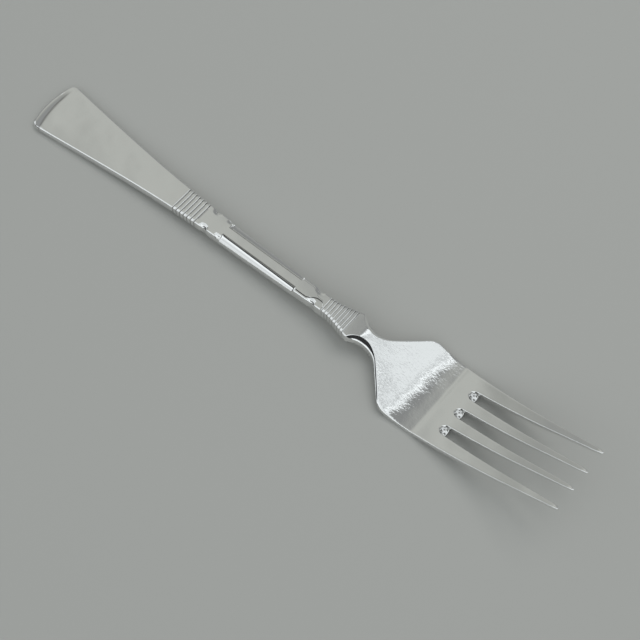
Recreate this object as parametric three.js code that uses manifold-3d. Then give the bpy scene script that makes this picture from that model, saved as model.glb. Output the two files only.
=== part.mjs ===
import * as THREE from "three";
import { mergeVertices } from "three/addons/utils/BufferGeometryUtils.js";
import Module from "manifold-3d";

// Sizes in millimetres. X runs from the end of the handle to the tips of the tines,
// Y across the fork and Z up from the table.

// Lengths along the fork
const LENGTH = 190.8;
const HEAD_LENGTH = 67.2;
const TINE_LENGTH = 37.6;
const COLLAR_TAPER = 5.2;
const COLLAR_FLAT = 2.8;
const COLLAR_LIP = 1.6;
const BAND_TO_NOTCH = 4;
const NOTCH_TO_FLUTE = 6.1;
const FLUTE_LENGTH = 26.9;
const FLUTE_TO_NOTCH = 5.9;
const NOTCH_TO_BAND = 3.2;
const END_LAND = 10;

// Widths
const HANDLE_END_WIDTH = 18.4;
const UPPER_BAND_WIDTH = 8.3;
const STEM_WIDTH = 6.2;
const STEM_END_WIDTH = 5.2;
const COLLAR_WIDTH = 8.9;
const NECK_WIDTH = 5;
const HEAD_WIDTH = 25.5;

// Heights of the top above the table
const END_HEIGHT = 2.3;
const LAND_HEIGHT = 2.5;
const UPPER_BAND_HEIGHT = 4.8;
const STEM_HEIGHT = 6.4;
const LOWER_BAND_HEIGHT = 7.65;
const COLLAR_HEIGHT = 7.95;
const NECK_HEIGHT = 7.4;
const FLANK_HEIGHT = 5.7;
const SHOULDER_HEIGHT = 2.3;
const BOWL_HEIGHT = 1.35;
const ROOT_HEIGHT = 2.65;
const TINE_HEIGHT = 8.7;
const TIP_HEIGHT = 17;

// Thicknesses; the underside is flat on the table wherever they would reach below it
const UPPER_BAND_THICKNESS = 3.1;
const STEM_THICKNESS = 3.9;
const COLLAR_THICKNESS = 4.3;
const NECK_THICKNESS = 4.6;
const FLANK_THICKNESS = 3.6;
const BOWL_THICKNESS = 1.65;
const TIP_THICKNESS = 1;

// End of the handle
const END_BOW_RADIUS = 24;
const END_BOW_FADE = 22;
const END_CORNER_RADIUS = 2.8;
const END_ROUND = 0.9;
const END_LIP = 0.6;
const END_ROLL = 3.7;
const END_ROLL_DROP = 0.66;

// Cross-section
const EDGE_RADIUS = 0.3;
const UNDER_EDGE_RADIUS = 0.8;
const NECK_BEVEL = 0.95;
const NECK_BEVEL_DROP = 1.16;
const NECK_LIP = 0.15;
const NECK_LIP_DROP = 0.29;
const NECK_REACH = 14;
const HANDLE_CROWN = 0.04;
const BOWL_DISH = 0.45;
const COLLAR_WING_LIFT = 1.5;
const COLLAR_WING_REACH = 9;

// Ribbed bands
const UPPER_RIB_COUNT = 6;
const UPPER_RIB_PITCH = 1.32;
const LOWER_RIB_COUNT = 8;
const LOWER_RIB_PITCH = 1.05;
const RIB_GROOVE = 0.22;
const RIB_GROOVE_HALF_WIDTH = 0.24;
const RIB_END = 0.16;

// Edge notches, flutes and the shelves between the flutes and the lower ribs
const NOTCH_HALF_LENGTH = 1.65;
const NICK_HALF_LENGTH = 0.95;
const NOTCH_INSET = 0.3;
const NOTCH_FALL = 0.22;
const NOTCH_DEPTH = 0.95;
const NOTCH_REACH = 1.15;
const FLUTE_DEPTH = 1.1;
const FLUTE_END = 1.3;
const RIDGE_WIDTH = 2.8;
const SHELF_DEPTH = 0.4;
const SHELF_STEP = 0.3;
const SHELF_RIDGE_WIDTH = 3.9;
const BAY_RIDGE_WIDTH = 1;
const BAY_LENGTH = 6.2;
const BAY_BACK = 1.5;

// Bowl and tines
const SHOULDER_ANGLE = 46.5;
const NECK_FILLET = 7.2;
const SHOULDER_RADIUS = 4.8;
const SLOT_WIDTH = 2.7;
const SLOT_SPACING = 6.33;
const INNER_TINE_SPAN = 5.92;
const OUTER_TINE_SPAN = 19.06;
const TINE_TIP_WIDTH = 1.45;
const TINE_POINT_LENGTH = 4;
const TINE_POINT_WIDTH = 0.6;
const TINE_ROLL = 1.8;
const TINE_ROLL_DROP = 0.3;

// Fineness of the drawing
const SLOT_ARC_STEPS = 10;
const POINT_STEPS = 3;
const CORNER_TURNS = [0, 0.12, 0.25, 0.4, 0.6, 0.8, 1];

// Shares: the bowl's lowest place from shoulders to slots, an edge's radius in the height of the metal,
// and the ridge in the width of the top
const BOWL_SHARE = 0.34;
const EDGE_SHARE = 0.4;
const RIDGE_SHARE = 0.85;

// Powers that shape the falls: the rolled ends, the flutes, and the bevels before and after the neck
const END_ROLL_POWER = 1.5;
const TINE_ROLL_POWER = 2;
const FLUTE_POWER = 0.75;
const BEVEL_WIDTH_POWERS = [8, 2];
const BEVEL_HEIGHT_POWERS = [12, 3];

// Stations measured from the end of the handle
const neckX = LENGTH - HEAD_LENGTH;
const slotRootX = LENGTH - TINE_LENGTH;
const pointX = LENGTH - TINE_POINT_LENGTH;
const collarX = neckX - COLLAR_TAPER;
const breakX = collarX + COLLAR_FLAT;
const lowerBandEnd = collarX - COLLAR_LIP;
const lowerBandStart = lowerBandEnd - LOWER_RIB_COUNT * LOWER_RIB_PITCH;
const lowerNotchX = lowerBandStart - BAND_TO_NOTCH;
const fluteEnd = lowerNotchX - NOTCH_TO_FLUTE;
const fluteStart = fluteEnd - FLUTE_LENGTH;
const fluteMiddle = (fluteStart + fluteEnd) / 2;
const nickX = fluteStart - NICK_HALF_LENGTH;
const upperNotchX = fluteStart - FLUTE_TO_NOTCH;
const upperBandEnd = upperNotchX - NOTCH_TO_BAND;
const upperBandStart = upperBandEnd - UPPER_RIB_COUNT * UPPER_RIB_PITCH;

// The outline from neck to shoulder: a hollow fillet, a straight flank and a round shoulder
const flank = THREE.MathUtils.degToRad(SHOULDER_ANGLE);
const filletRun = NECK_FILLET * Math.sin(flank);
const filletRise = NECK_FILLET * (1 - Math.cos(flank));
const shoulderRun = SHOULDER_RADIUS * Math.sin(flank);
const shoulderRise = SHOULDER_RADIUS * (1 - Math.cos(flank));
const flankRise = (HEAD_WIDTH - NECK_WIDTH) / 2 - filletRise - shoulderRise;
const flankStart = neckX + filletRun;
const flankEnd = flankStart + flankRise / Math.tan(flank);
const shoulderX = flankEnd + shoulderRun;
const bowlX = THREE.MathUtils.lerp(shoulderX, slotRootX, BOWL_SHARE);

// A smooth line through [x, value] points that never overshoots them
function curveThrough(points) {
  const rises = points.slice(1).map((point, i) => (point[1] - points[i][1]) / (point[0] - points[i][0]));
  const slopes = points.map((point, i) => {
    const before = rises[Math.max(i - 1, 0)];
    const after = rises[Math.min(i, rises.length - 1)];
    return before * after > 0 ? 2 * before * after / (before + after) : 0;
  });
  return (x) => {
    const last = points.length - 2;
    const found = points.findIndex((point, i) => i > 0 && x <= point[0]) - 1;
    const i = found < 0 ? (x < points[0][0] ? 0 : last) : found;
    const span = points[i + 1][0] - points[i][0];
    const u = THREE.MathUtils.clamp((x - points[i][0]) / span, 0, 1);
    const start = (1 + 2 * u) * (1 - u) ** 2 * points[i][1] + u * (1 - u) ** 2 * span * slopes[i];
    const end = u * u * (3 - 2 * u) * points[i + 1][1] + u * u * (u - 1) * span * slopes[i + 1];
    return start + end;
  };
}

// One at the middle, falling smoothly to nothing at the given reach to either side
function bump(distance, reach) {
  const u = Math.min(Math.abs(distance) / reach, 1);
  return (1 - u * u) ** 2;
}

const handleLine = curveThrough([
  [0, HANDLE_END_WIDTH / 2],
  [upperBandStart, UPPER_BAND_WIDTH / 2],
  [fluteMiddle, STEM_WIDTH / 2],
  [lowerBandStart, STEM_END_WIDTH / 2],
  [collarX, COLLAR_WIDTH / 2],
]);

// Height of the top on the centre line, before ribs, cuts and rolled ends
const crestLine = curveThrough([
  [0, END_HEIGHT],
  [END_LAND, LAND_HEIGHT],
  [upperBandStart, UPPER_BAND_HEIGHT],
  [fluteMiddle, STEM_HEIGHT],
  [lowerBandStart, LOWER_BAND_HEIGHT],
  [collarX, COLLAR_HEIGHT],
  [breakX, COLLAR_HEIGHT],
  [neckX, NECK_HEIGHT],
  [flankStart, FLANK_HEIGHT],
  [shoulderX, SHOULDER_HEIGHT],
  [bowlX, BOWL_HEIGHT],
  [slotRootX, ROOT_HEIGHT],
  [slotRootX + TINE_LENGTH / 2, TINE_HEIGHT],
  [LENGTH, TIP_HEIGHT],
]);

const thickness = curveThrough([
  [0, END_HEIGHT],
  [END_LAND, LAND_HEIGHT],
  [upperBandStart, UPPER_BAND_THICKNESS],
  [fluteMiddle, STEM_THICKNESS],
  [collarX, COLLAR_THICKNESS],
  [neckX, NECK_THICKNESS],
  [flankStart, FLANK_THICKNESS],
  [bowlX, BOWL_THICKNESS],
  [slotRootX, BOWL_THICKNESS],
  [LENGTH, TIP_THICKNESS],
]);

// Height of the underside; it lies flat on the table under the end of the handle and under the bowl
function underside(x) {
  return Math.max(crestLine(x) - thickness(x), 0);
}

// Half of the width from the collar's corners in to the neck
function collarTaperLine(x) {
  const left = (neckX - x) / COLLAR_TAPER;
  return NECK_WIDTH / 2 + (COLLAR_WIDTH - NECK_WIDTH) / 2 * left * left;
}

// Half of the width from the neck to the shoulders
function shoulderLine(x) {
  if (x < flankStart) {
    return NECK_WIDTH / 2 + NECK_FILLET - Math.sqrt(NECK_FILLET ** 2 - (x - neckX) ** 2);
  }
  if (x < flankEnd) {
    return NECK_WIDTH / 2 + filletRise + (x - flankStart) * Math.tan(flank);
  }
  return HEAD_WIDTH / 2 - SHOULDER_RADIUS + Math.sqrt(SHOULDER_RADIUS ** 2 - (shoulderX - x) ** 2);
}

// How far a tine's side lies from its own centre line, narrowing to a blunt point
function pointHalfWidth(x) {
  const u = THREE.MathUtils.clamp((x - pointX) / TINE_POINT_LENGTH, 0, 1);
  return THREE.MathUtils.lerp(TINE_TIP_WIDTH, TINE_POINT_WIDTH, u * u) / 2;
}

// Half of the width from the shoulders to the tips
function headLine(x) {
  const u = Math.min((x - shoulderX) / (pointX - shoulderX), 1);
  return THREE.MathUtils.lerp(HEAD_WIDTH / 2, OUTER_TINE_SPAN / 2 + pointHalfWidth(x), u);
}

// How far the thumbnail notches have cut into the edges at a place along the handle
function notchReach(x) {
  return bump(x - upperNotchX, NOTCH_HALF_LENGTH) + bump(x - lowerNotchX, NOTCH_HALF_LENGTH);
}

// One in the middle of each groove between ribs and at both ends of the bands, nothing on the ribs
function ribGroove(x) {
  const inBand = (start, count, pitch) => {
    const nearest = THREE.MathUtils.clamp(Math.round((x - start) / pitch), 0, count);
    return bump(x - start - nearest * pitch, RIB_GROOVE_HALF_WIDTH);
  };
  return inBand(upperBandStart, UPPER_RIB_COUNT, UPPER_RIB_PITCH)
    + inBand(lowerBandStart, LOWER_RIB_COUNT, LOWER_RIB_PITCH);
}

// Half of the width of the fork, with the notches and grooves in its edges and the round corners of its end
function halfWidth(x) {
  if (x > shoulderX) return headLine(x);
  if (x > neckX) return shoulderLine(x);
  if (x > collarX) return collarTaperLine(x);
  const fromCorner = Math.max(END_CORNER_RADIUS - x, 0);
  const corner = END_CORNER_RADIUS - Math.sqrt(END_CORNER_RADIUS ** 2 - fromCorner ** 2);
  return handleLine(x) - NOTCH_INSET * notchReach(x) - RIB_END * ribGroove(x) - corner;
}

// Height of the top of the fork on its centre line
function topLine(x) {
  const endRoll = END_ROLL_DROP * Math.max(1 - x / END_ROLL, 0) ** END_ROLL_POWER;
  const tineRoll = TINE_ROLL_DROP * Math.max(1 - (LENGTH - x) / TINE_ROLL, 0) ** TINE_ROLL_POWER;
  return crestLine(x) - RIB_GROOVE * ribGroove(x) - endRoll - tineRoll;
}

// How far the flute has cut in at a place along its length
function fluteReach(x) {
  const inside = Math.min(x - fluteStart, fluteEnd - x) / FLUTE_END;
  const u = THREE.MathUtils.clamp(inside, 0, 1);
  return Math.sqrt(u * (2 - u));
}

// One along the shelves that follow the flutes, nothing elsewhere
function shelfReach(x) {
  const start = THREE.MathUtils.smoothstep(x, fluteEnd, fluteEnd + SHELF_STEP);
  const end = lowerBandStart - RIB_GROOVE_HALF_WIDTH;
  return start * (1 - THREE.MathUtils.smoothstep(x, end - SHELF_STEP, end));
}

// Half of the width of the plain ridge: wide beside the shelves, and narrow in the bay before the lower ribs
function ridgeHalf(x) {
  const into = THREE.MathUtils.smoothstep(x, lowerBandStart - BAY_LENGTH, lowerBandStart - BAY_BACK);
  const back = THREE.MathUtils.smoothstep(x, lowerBandStart - BAY_BACK, lowerBandStart);
  const beside = THREE.MathUtils.lerp(SHELF_RIDGE_WIDTH, BAY_RIDGE_WIDTH, into - back);
  return THREE.MathUtils.lerp(RIDGE_WIDTH, beside, shelfReach(x)) / 2;
}

// Depth of the notches and of the nicks before the flutes: a gentle fall to the edge that turns steep half way
function notchDepth(x, fromEdge) {
  const along = notchReach(x) + bump(x - nickX, NICK_HALF_LENGTH);
  const inside = THREE.MathUtils.clamp(1 - fromEdge / NOTCH_REACH, 0, 1);
  const steep = Math.max(2 * inside - 1, 0);
  return along * (NOTCH_FALL * 2 * inside + (NOTCH_DEPTH - 2 * NOTCH_FALL) * steep);
}

// Drop of the top below its centre line: crowned on the handle, dished in the bowl, cut down along the edges
function topDrop(x, y, half) {
  const dish = THREE.MathUtils.smoothstep(x, neckX, shoulderX);
  const crown = THREE.MathUtils.lerp(HANDLE_CROWN, -BOWL_DISH, dish) * (y / half) ** 2;
  const across = THREE.MathUtils.clamp((y - RIDGE_WIDTH / 2) / (half - RIDGE_WIDTH / 2), 0, 1);
  const flute = FLUTE_DEPTH * fluteReach(x) * (across * (2 - across)) ** FLUTE_POWER;
  const onStep = THREE.MathUtils.clamp((y - ridgeHalf(x)) / SHELF_STEP, 0, 1);
  return crown + flute + SHELF_DEPTH * shelfReach(x) * onStep + notchDepth(x, half - y);
}

// Lift of the underside towards the tips of the collar
function wingLift(x, y, half) {
  return COLLAR_WING_LIFT * bump(x - collarX, COLLAR_WING_REACH) * (y / half) ** 2;
}

// Shares of the neck's bevels in width and height: whole at the neck, none at the corners and in the bowl
function bevelShares(x) {
  const before = THREE.MathUtils.clamp((neckX - x) / COLLAR_TAPER, 0, 1);
  const after = THREE.MathUtils.clamp((x - neckX) / NECK_REACH, 0, 1);
  const shares = [BEVEL_WIDTH_POWERS, BEVEL_HEIGHT_POWERS];
  return shares.map(([rise, fall]) => (1 - before ** rise) * (1 - after ** fall));
}

// The edge from the wall up to the top, as ways in from the side and down from the top
function topEdge(x, height) {
  const radius = Math.min(EDGE_RADIUS, height * EDGE_SHARE);
  const [wide, tall] = bevelShares(x);
  const bevel = [
    [0, NECK_BEVEL_DROP + NECK_LIP_DROP],
    [NECK_LIP, NECK_BEVEL_DROP],
    [NECK_LIP + NECK_BEVEL, 0],
  ];
  return [Math.PI / 2, Math.PI / 4, 0].map((turn, i) => [
    THREE.MathUtils.lerp(radius * (1 - Math.sin(turn)), bevel[i][0], wide),
    THREE.MathUtils.lerp(radius * (1 - Math.cos(turn)), bevel[i][1], tall),
  ]);
}

// One side of a cross-section as [y, z], from the middle of the underside round to the middle of the top
function halfSection(x) {
  const half = halfWidth(x);
  const top = (y) => topLine(x) - topDrop(x, y, half);
  const bottom = (y) => underside(x) + wingLift(x, y, half);
  const height = top(half) - bottom(half);
  const edge = topEdge(x, height);
  const topInner = half - edge[2][0];
  const underRadius = Math.min(UNDER_EDGE_RADIUS, (height - edge[0][1]) * EDGE_SHARE);
  const underInner = half - underRadius;
  const points = [[0, bottom(0)], [underInner / 2, bottom(underInner / 2)]];
  for (const turn of [0, Math.PI / 4, Math.PI / 2]) {
    const z = bottom(underInner) + underRadius * (1 - Math.cos(turn));
    points.push([underInner + underRadius * Math.sin(turn), z]);
  }
  for (const [inward, down] of edge) points.push([half - inward, top(topInner) - down]);
  const ridge = Math.min(ridgeHalf(x), topInner * RIDGE_SHARE);
  const foot = Math.min(ridge + SHELF_STEP, (ridge + topInner) / 2);
  const across = [(foot + 2 * topInner) / 3, (2 * foot + topInner) / 3, foot, ridge, ridge / 2, 0];
  for (const y of across) points.push([y, top(y)]);
  return points;
}

// How much of its full height the rounded rim of the handle's end has at a place
function rimShare(x) {
  const u = Math.min((x + END_LIP ** 2 / END_ROUND) / END_ROUND, 1);
  return Math.sqrt(u * (2 - u));
}

// A whole cross-section; near the end of the handle it bends with the bowed end
function section(x) {
  const side = halfSection(x);
  const mirrored = side.slice(1, -1).reverse().map(([y, z]) => [-y, z]);
  const fade = Math.max(1 - x / END_BOW_FADE, 0) ** 2;
  const middle = (underside(x) + topLine(x)) / 2;
  return [...side, ...mirrored].map(([y, z]) => {
    const bow = y * y / (2 * END_BOW_RADIUS) * fade;
    return new THREE.Vector3(x + bow - LENGTH / 2, y, THREE.MathUtils.lerp(middle, z, rimShare(x)));
  });
}

// Evenly spaced places after one station, up to and including the next
function steps(from, to, count) {
  return Array.from({ length: count }, (none, i) => from + (to - from) * (i + 1) / count);
}

// Places before, in and after every groove of a ribbed band
function grooveStations(start, count, pitch) {
  const lines = Array.from({ length: count + 1 }, (none, i) => start + i * pitch);
  return lines.flatMap((x) => [x - RIB_GROOVE_HALF_WIDTH, x, x + RIB_GROOVE_HALF_WIDTH]);
}

// Places along the fork where a cross-section is drawn, close together where the form changes fast
function stations() {
  return [
    ...CORNER_TURNS.map((turn) => END_CORNER_RADIUS * (1 - Math.cos(turn * Math.PI / 2))),
    ...steps(END_CORNER_RADIUS, END_LAND, 3),
    ...steps(END_LAND, upperBandStart - 2 * RIB_GROOVE_HALF_WIDTH, 8),
    ...grooveStations(upperBandStart, UPPER_RIB_COUNT, UPPER_RIB_PITCH),
    ...steps(upperBandEnd + RIB_GROOVE_HALF_WIDTH, upperNotchX - NOTCH_HALF_LENGTH, 1),
    ...steps(upperNotchX - NOTCH_HALF_LENGTH, upperNotchX + NOTCH_HALF_LENGTH, 8),
    ...steps(upperNotchX + NOTCH_HALF_LENGTH, nickX - NICK_HALF_LENGTH, 1),
    ...steps(nickX - NICK_HALF_LENGTH, fluteStart, 4),
    ...steps(fluteStart, fluteStart + FLUTE_END, 4),
    ...steps(fluteStart + FLUTE_END, fluteEnd - FLUTE_END, 5),
    ...steps(fluteEnd - FLUTE_END, fluteEnd, 4),
    ...steps(fluteEnd, fluteEnd + SHELF_STEP, 1),
    ...steps(fluteEnd + SHELF_STEP, lowerNotchX - NOTCH_HALF_LENGTH, 4),
    ...steps(lowerNotchX - NOTCH_HALF_LENGTH, lowerNotchX + NOTCH_HALF_LENGTH, 8),
    ...steps(lowerNotchX + NOTCH_HALF_LENGTH, lowerBandStart - 2 * RIB_GROOVE_HALF_WIDTH, 5),
    ...grooveStations(lowerBandStart, LOWER_RIB_COUNT, LOWER_RIB_PITCH),
    ...steps(lowerBandEnd + RIB_GROOVE_HALF_WIDTH, collarX, 2),
    ...steps(collarX, neckX, 8),
    ...steps(neckX, flankStart, 6),
    ...steps(flankStart, flankEnd, 5),
    ...steps(flankEnd, shoulderX, 5),
    ...steps(shoulderX, slotRootX, 8),
    ...steps(slotRootX, pointX, 14),
    ...steps(pointX, LENGTH, POINT_STEPS),
  ];
}

// A closed skin over a row of matching cross-sections, with flat ends
function loft(sections) {
  const around = sections[0].length;
  const faces = [];
  for (let row = 0; row + 1 < sections.length; row += 1) {
    for (let i = 0; i < around; i += 1) {
      const next = (i + 1) % around;
      const a = row * around;
      const b = a + around;
      faces.push(a + i, b + next, b + i, a + i, a + next, b + next);
    }
  }
  const end = (sections.length - 1) * around;
  for (let i = 0; i < around / 2; i += 1) {
    const [p, q] = [i, i + 1];
    const [r, s] = [(around - i - 1) % around, (around - i) % around];
    if (s !== p) faces.push(p, s, q, end + p, end + q, end + s);
    if (q !== r) faces.push(q, s, r, end + q, end + r, end + s);
  }
  const geometry = new THREE.BufferGeometry().setFromPoints(sections.flat());
  geometry.setIndex(faces);
  return geometry;
}

// The gap between two tines seen from above: a round root, straight sides and the two points' flanks
function slotShape(centre, tineBelow, tineAbove) {
  const radius = SLOT_WIDTH / 2;
  const arcX = slotRootX + radius;
  const beyond = LENGTH + TINE_POINT_LENGTH;
  const flanks = steps(pointX, LENGTH, POINT_STEPS);
  const shape = new THREE.Shape();
  shape.moveTo(arcX, centre + radius);
  shape.absarc(arcX, centre, radius, Math.PI / 2, Math.PI * 1.5, false);
  for (const x of [pointX, ...flanks]) shape.lineTo(x, tineBelow + pointHalfWidth(x));
  shape.lineTo(beyond, tineBelow + TINE_POINT_WIDTH / 2);
  shape.lineTo(beyond, tineAbove - TINE_POINT_WIDTH / 2);
  for (const x of [pointX, ...flanks].reverse()) shape.lineTo(x, tineAbove - pointHalfWidth(x));
  shape.closePath();
  return shape;
}

// The three gaps between the four tines, as blocks taller than the head
function slotBlocks() {
  const tips = [-OUTER_TINE_SPAN, -INNER_TINE_SPAN, INNER_TINE_SPAN, OUTER_TINE_SPAN].map((span) => span / 2);
  return [-1, 0, 1].map((place, i) => {
    const shape = slotShape(place * SLOT_SPACING, tips[i], tips[i + 1]);
    const depth = TIP_HEIGHT + 2 * NECK_THICKNESS;
    const options = { depth, bevelEnabled: false, curveSegments: SLOT_ARC_STEPS };
    return new THREE.ExtrudeGeometry(shape, options).translate(-LENGTH / 2, 0, -NECK_THICKNESS);
  });
}

const wasm = await Module();
wasm.setup();

function toManifold(geometry) {
  const bare = new THREE.BufferGeometry();
  bare.setAttribute("position", geometry.getAttribute("position"));
  bare.setIndex(geometry.getIndex());
  const merged = mergeVertices(bare, 1e-5);
  const vertProperties = new Float32Array(merged.getAttribute("position").array);
  const triVerts = new Uint32Array(merged.getIndex().array);
  return new wasm.Manifold(new wasm.Mesh({ numProp: 3, vertProperties, triVerts }));
}

function toGeometry(solid) {
  const mesh = solid.getMesh();
  const geometry = new THREE.BufferGeometry();
  const places = new Float32Array(mesh.vertProperties);
  geometry.setAttribute("position", new THREE.BufferAttribute(places, mesh.numProp));
  geometry.setIndex(new THREE.BufferAttribute(new Uint32Array(mesh.triVerts), 1));
  geometry.computeVertexNormals();
  return geometry;
}

const blank = toManifold(loft(stations().map(section)));
const pierced = slotBlocks().map(toManifold).reduce((solid, block) => solid.subtract(block), blank);

const silver = new THREE.MeshStandardMaterial({ color: 0xd9d9d6, metalness: 1, roughness: 0.15 });
silver.name = "silver";
const fork = new THREE.Mesh(toGeometry(pierced), silver);
fork.name = "fork";

const group = new THREE.Group();
group.name = "dinner_fork";
group.add(fork);

export default group;
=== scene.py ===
"""Polished one-piece table fork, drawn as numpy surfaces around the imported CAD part."""
import math
from types import SimpleNamespace

import bmesh
import bpy
import numpy as np
from mathutils import Matrix, Vector


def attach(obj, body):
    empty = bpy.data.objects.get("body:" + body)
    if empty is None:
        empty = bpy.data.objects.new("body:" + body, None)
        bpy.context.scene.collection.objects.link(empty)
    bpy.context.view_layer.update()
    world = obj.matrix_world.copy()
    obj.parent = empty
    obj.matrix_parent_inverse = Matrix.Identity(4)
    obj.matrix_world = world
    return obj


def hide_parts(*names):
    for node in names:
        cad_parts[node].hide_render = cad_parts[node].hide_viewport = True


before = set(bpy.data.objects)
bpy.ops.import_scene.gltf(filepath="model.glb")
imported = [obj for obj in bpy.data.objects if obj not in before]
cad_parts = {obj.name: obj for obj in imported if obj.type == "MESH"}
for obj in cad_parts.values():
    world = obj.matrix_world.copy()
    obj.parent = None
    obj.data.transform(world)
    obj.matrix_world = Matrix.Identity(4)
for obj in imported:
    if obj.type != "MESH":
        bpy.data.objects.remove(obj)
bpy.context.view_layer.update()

bl_info = {
    "name": "Table fork",
    "version": (1, 0, 0),
    "blender": (4, 5, 0),
    "location": "View3D > Sidebar > Fork",
    "description": "Builds a polished one-piece table fork and the stage it lies on",
    "category": "Object",
}

# Counts in the surfaces. The columns round a slot are odd, so that one lies on the centre line.
TINES = 4
TINE_COLUMNS = 9
SLOT_COLUMNS = 15
EDGE_TURNS = 9
WALL_STEPS = 3
BEND_ROWS, TINE_ROWS, POINT_ROWS, TIP_ROWS = 14, 36, 14, 6

# Shares of the columns up to the ridge's edge and its foot, and the most of the top that these may take.
RIDGE_COLUMNS, FOOT_COLUMNS, RIDGE_MOST, FOOT_MOST = 0.49, 0.62, 0.85, 0.95

# Height of the top and thickness of the metal, in millimetres at places along the centre line.
HEIGHTS = [
    (0, 2.3), (5, 2.4), (11, 2.55), (20, 2.95), (54.4, 4.8), (84.4, 6.4), (105, 7.5), (113, 7.85), (118.4, 7.95),
    (121.2, 7.93), (122.2, 7.77), (124.3, 7.22), (127, 6.35), (130.5, 5.15), (136.5, 3.0), (140.2, 1.65),
    (143.5, 1.34), (146.2, 1.43), (148.5, 1.78), (154, 2.85), (163, 5.45), (172, 8.7), (181.5, 12.9), (190.8, 17.0)]
THICKNESSES = [
    (0, 2.4), (11, 2.6), (54.4, 3.1), (84.4, 3.9), (113, 4.25), (123.6, 4.6), (130, 3.4), (136, 2.1),
    (141, 1.65), (153.2, 1.6), (190.8, 1.0)]

# How far these lines are softened, in metres, and how much less the top's line is at the neck.
TOP_SPREAD, THICKNESS_SPREAD, TOP_CRISPER = 0.001, 0.0015, 0.0007

# Falls over length at the handle's end: worn slope, what the lip takes back, sides; and where the slope fades.
END_SLOPE, LIP_SLOPE, SIDE_SLOPE, WORN_FULL, WORN_GONE = 0.24, 0.28, 0.1, 0.3, 0.85

# Powers of the curves across the fork: crown and dish, hollow of the flutes, grooves and ends of the ribs.
CROWN_POWER, FLUTE_POWER, GROOVE_POWER, RIB_END_POWER = 2.4, 0.62, 6, 1.5

# Notches: gentle fall, fall that is added past the turn, the turn, and how much deeper a nick is.
NOTCH_GENTLE, NOTCH_STEEPER, NOTCH_TURN, NICK_DEEPER = 0.6, 1.4, 0.5, 1.6

# Neck bevel: powers by which its width and height fade, and how it shrinks along the bowl's flanks.
BEVEL_WIDTH_POWER, BEVEL_HEIGHT_POWER = 6, 3
FLANK_SETTLES, FLANK_NARROWER, FLANK_FLATTER = 0.35, 0.45, 0.4

# Soft edges: how much smaller they are along the flutes, and the most of a tine that they may take.
FLUTE_EDGE_SMALLER, TINE_EDGE_MOST = 0.6, 0.46

# Lift of a tine's tip, curve of a slot's ramp, and waves of the tool's marks round and down it.
TIP_LIFT, RAMP_POWER, MARKS_ROUND, MARKS_DOWN = 0.45, 1.3, 3, 2

# Dark shares: patina in the upper and lower ribs; painted dark reflections along the foot of the ridge, in the crease
# of the end and on the tool's marks; and where these stop.
UPPER_RESIDUE, LOWER_RESIDUE, RIDGE_PAINTED_REFLECTION, CREASE_PAINTED_REFLECTION, MARK_PAINTED_REFLECTION = 0.8, 0.45, 0.7, 0.6, 1.5
GROOVE_CLEAN, FLUTE_BEGUN, MOST_PAINTED_REFLECTION = 0.3, 0.2, 0.95

# Points this close are one, edges this short have no length, and edges past this angle stay sharp.
SAME_POINT, NO_LENGTH, SHARP_ANGLE = 2e-6, 1e-7, math.radians(38)

# Half of the table's side and the point that the camera looks at, in metres, and the camera's lens.
TABLE_HALF, CAMERA_TARGET = 3.0, Vector((0.012237, -0.002011, 0))
CAMERA_LENS, CAMERA_SENSOR, CAMERA_CLIP = 76.47, 36, 0.01

# Where the studio's slanting lines cross overhead, along Y.
SLANT_PIVOT = 0.335


def size(name, description, millimetres):
    """A length property whose default is given in millimetres."""
    return bpy.props.FloatProperty(
        name=name, description=description, default=millimetres / 1000, unit="LENGTH", precision=5)


def angle(name, description, degrees):
    """An angle property whose default is given in degrees."""
    return bpy.props.FloatProperty(
        name=name, description=description, default=math.radians(degrees), subtype="ANGLE")


def colour(name, description, value):
    """A colour in linear light."""
    return bpy.props.FloatVectorProperty(
        name=name, description=description, default=value, size=3, min=0, max=1, subtype="COLOR")


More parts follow.
